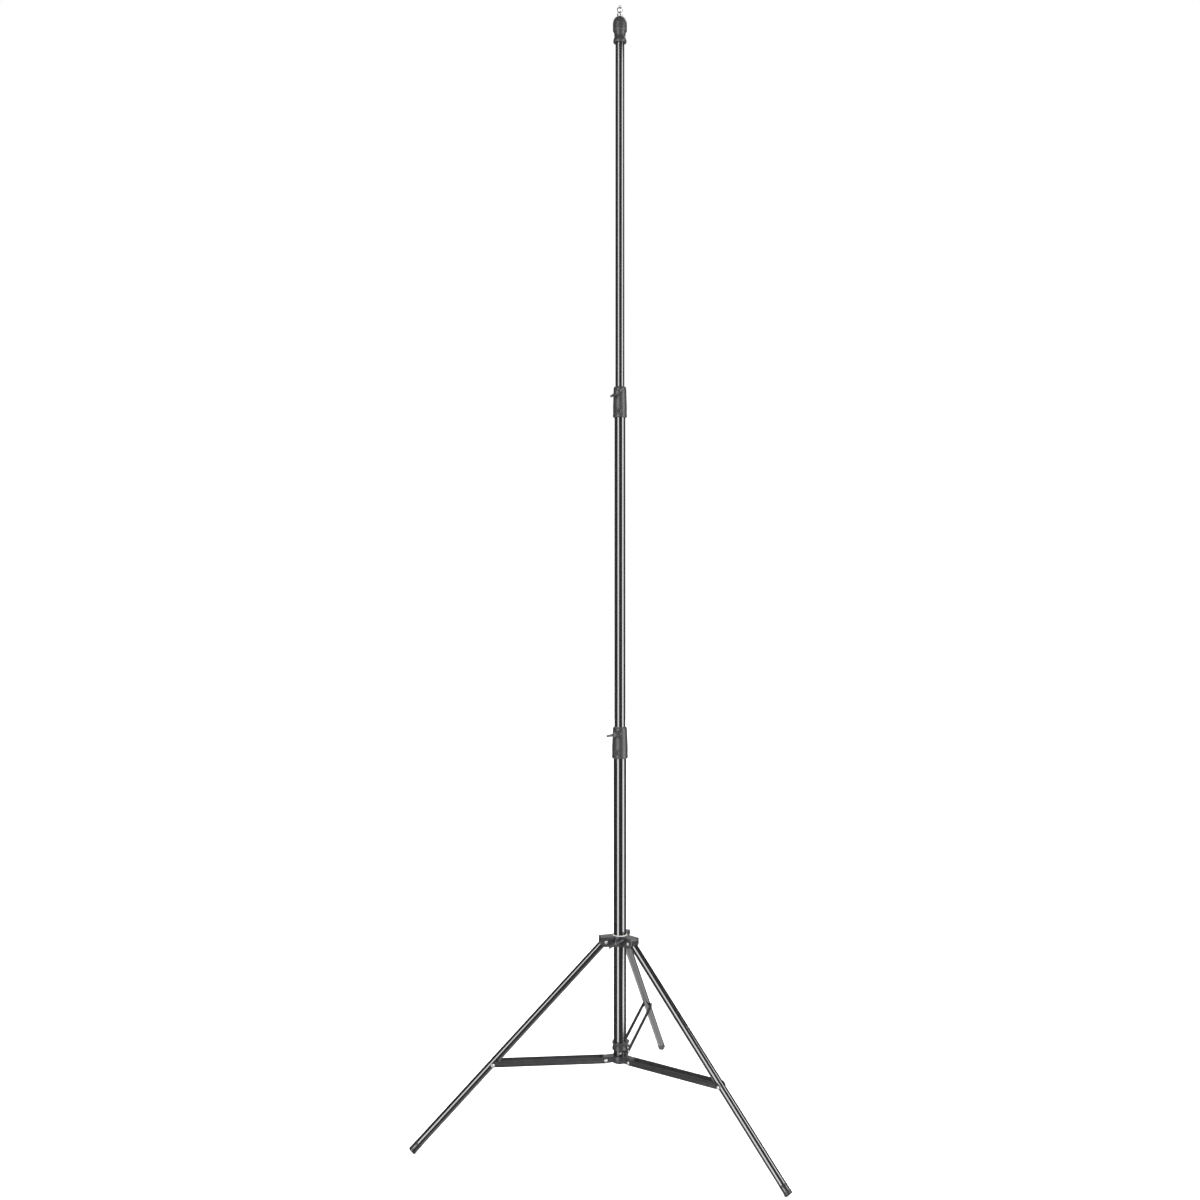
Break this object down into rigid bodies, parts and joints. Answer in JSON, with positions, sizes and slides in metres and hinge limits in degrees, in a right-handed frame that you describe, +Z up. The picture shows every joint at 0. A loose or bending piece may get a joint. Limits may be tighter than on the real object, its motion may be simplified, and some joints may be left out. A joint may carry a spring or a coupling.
{
  "type": "lighting stand",
  "caption": "tall telescopic tripod lighting stand with sliding folding base, clamp handles on each collar and a stud spigot on top",
  "frame": {"origin": "on the floor at the column's axis, midway between the three boots", "axes": "+Z up along the column to the spigot; leg C along +Y; the upper hub's clamp handle faces -Y"},
  "size_m": [1.0076, 0.8757, 3.1],
  "materials": {
    "gloss_black_enamel": "gloss black enamel over drawn aluminium tube",
    "black_nylon_casting": "textured dark grey glass-filled nylon",
    "black_painted_casting": "satin black paint on cast alloy",
    "black_painted_steel": "satin black paint on flat steel strip",
    "zinc_steel": "bright zinc plate",
    "nickel_rivet": "bright nickel plate",
    "chromed_spigot": "dark chrome plate",
    "natural_nylon": "unpainted moulded nylon",
    "brass_shoe": "plain turned brass",
    "black_rubber": "moulded black rubber"
  },
  "bodies": {
    "column": {"outer_tube": "gloss_black_enamel", "column_end_plug": "black_nylon_casting", "lower_hub": "black_painted_casting", "lower_hub_screw": "zinc_steel", "stop_ring": "black_painted_casting", "stop_ring_screw": "zinc_steel", "lower_collar": "black_nylon_casting", "lower_collar_bolt": "zinc_steel", "lower_collar_bush": "natural_nylon", "lower_collar_shoe": "brass_shoe", "lower_hub_pins": "nickel_rivet"},
    "hub": {"upper_hub": "black_painted_casting", "hub_bush": "natural_nylon", "hub_shoe": "brass_shoe", "hub_pins": "nickel_rivet"},
    "hub_handle": {"hub_tee": "black_painted_casting", "hub_screw": "zinc_steel"},
    "lower_handle": {"lower_tee": "black_painted_casting", "lower_screw": "zinc_steel"},
    "upper_handle": {"upper_tee": "black_painted_casting", "upper_screw": "zinc_steel"},
    "mid": {"middle_tube": "gloss_black_enamel", "middle_piston": "natural_nylon", "middle_seal": "black_rubber", "upper_collar": "black_nylon_casting", "upper_collar_bolt": "zinc_steel", "upper_collar_bush": "natural_nylon", "upper_collar_shoe": "brass_shoe"},
    "top": {"upper_tube": "gloss_black_enamel", "upper_piston": "natural_nylon", "upper_seal": "black_rubber", "top_cap": "black_nylon_casting", "spigot": "chromed_spigot", "cap_pin": "zinc_steel"},
    "leg_a": {"leg_a_tube": "gloss_black_enamel", "leg_a_knuckle": "black_nylon_casting", "leg_a_sleeve": "nickel_rivet", "leg_a_boot": "black_rubber"},
    "brace_a": {"brace_a_left": "black_painted_steel", "brace_a_right": "black_painted_steel", "brace_a_rivets": "nickel_rivet", "brace_a_washers": "zinc_steel"},
    "leg_b": {"leg_b_tube": "gloss_black_enamel", "leg_b_knuckle": "black_nylon_casting", "leg_b_sleeve": "nickel_rivet", "leg_b_boot": "black_rubber"},
    "brace_b": {"brace_b_left": "black_painted_steel", "brace_b_right": "black_painted_steel", "brace_b_rivets": "nickel_rivet", "brace_b_washers": "zinc_steel"},
    "leg_c": {"leg_c_tube": "gloss_black_enamel", "leg_c_knuckle": "black_nylon_casting", "leg_c_sleeve": "nickel_rivet", "leg_c_boot": "black_rubber"},
    "brace_c": {"brace_c_left": "black_painted_steel", "brace_c_right": "black_painted_steel", "brace_c_rivets": "nickel_rivet", "brace_c_washers": "zinc_steel"}
  },
  "joints": [
    {"name": "hub_slide", "type": "slide", "parent": "column", "child": "hub", "axis": [0, 0, 1], "range_m": [0, 0.42703]},
    {"name": "leg_a_fold", "type": "hinge", "parent": "hub", "child": "leg_a", "pos_m": [-0.0381, -0.022, 0.516], "axis": [0.5, -0.866, 0], "range_deg": [0, 46.1]},
    {"name": "brace_a_fold", "type": "hinge", "parent": "column", "child": "brace_a", "pos_m": [-0.0381, -0.022, 0.1907], "axis": [-0.5, 0.866, 0], "range_deg": [0, 86.05]},
    {"name": "leg_b_fold", "type": "hinge", "parent": "hub", "child": "leg_b", "pos_m": [0.0381, -0.022, 0.516], "axis": [0.5, 0.866, 0], "range_deg": [0, 46.1]},
    {"name": "brace_b_fold", "type": "hinge", "parent": "column", "child": "brace_b", "pos_m": [0.0381, -0.022, 0.1907], "axis": [-0.5, -0.866, 0], "range_deg": [0, 86.05]},
    {"name": "leg_c_fold", "type": "hinge", "parent": "hub", "child": "leg_c", "pos_m": [0, 0.044, 0.516], "axis": [-1, 0, 0], "range_deg": [0, 46.1]},
    {"name": "brace_c_fold", "type": "hinge", "parent": "column", "child": "brace_c", "pos_m": [0, 0.044, 0.1907], "axis": [1, 0, 0], "range_deg": [0, 86.05]},
    {"name": "middle_slide", "type": "slide", "parent": "column", "child": "mid", "axis": [0, 0, 1], "range_m": [-0.84, 0]},
    {"name": "upper_slide", "type": "slide", "parent": "mid", "child": "top", "axis": [0, 0, 1], "range_m": [-0.9, 0]},
    {"name": "hub_handle_turn", "type": "hinge", "parent": "hub", "child": "hub_handle", "pos_m": [0, 0, 0.516], "axis": [0, -1, 0], "range_deg": [0, 270]},
    {"name": "lower_handle_turn", "type": "hinge", "parent": "column", "child": "lower_handle", "pos_m": [0, 0, 1.086], "axis": [-0.1822, -0.9833, 0], "range_deg": [0, 270]},
    {"name": "upper_handle_turn", "type": "hinge", "parent": "mid", "child": "upper_handle", "pos_m": [0, 0, 2.025], "axis": [0.0785, -0.9969, 0], "range_deg": [0, 270]}
  ],
  "couplings": [
    {"joint": "leg_a_fold", "follows": "hub_slide", "rad_per_m": 1.8817},
    {"joint": "brace_a_fold", "follows": "hub_slide", "rad_per_m": 3.5152},
    {"joint": "leg_b_fold", "follows": "hub_slide", "rad_per_m": 1.8817},
    {"joint": "brace_b_fold", "follows": "hub_slide", "rad_per_m": 3.5152},
    {"joint": "leg_c_fold", "follows": "hub_slide", "rad_per_m": 1.8817},
    {"joint": "brace_c_fold", "follows": "hub_slide", "rad_per_m": 3.5152}
  ]
}
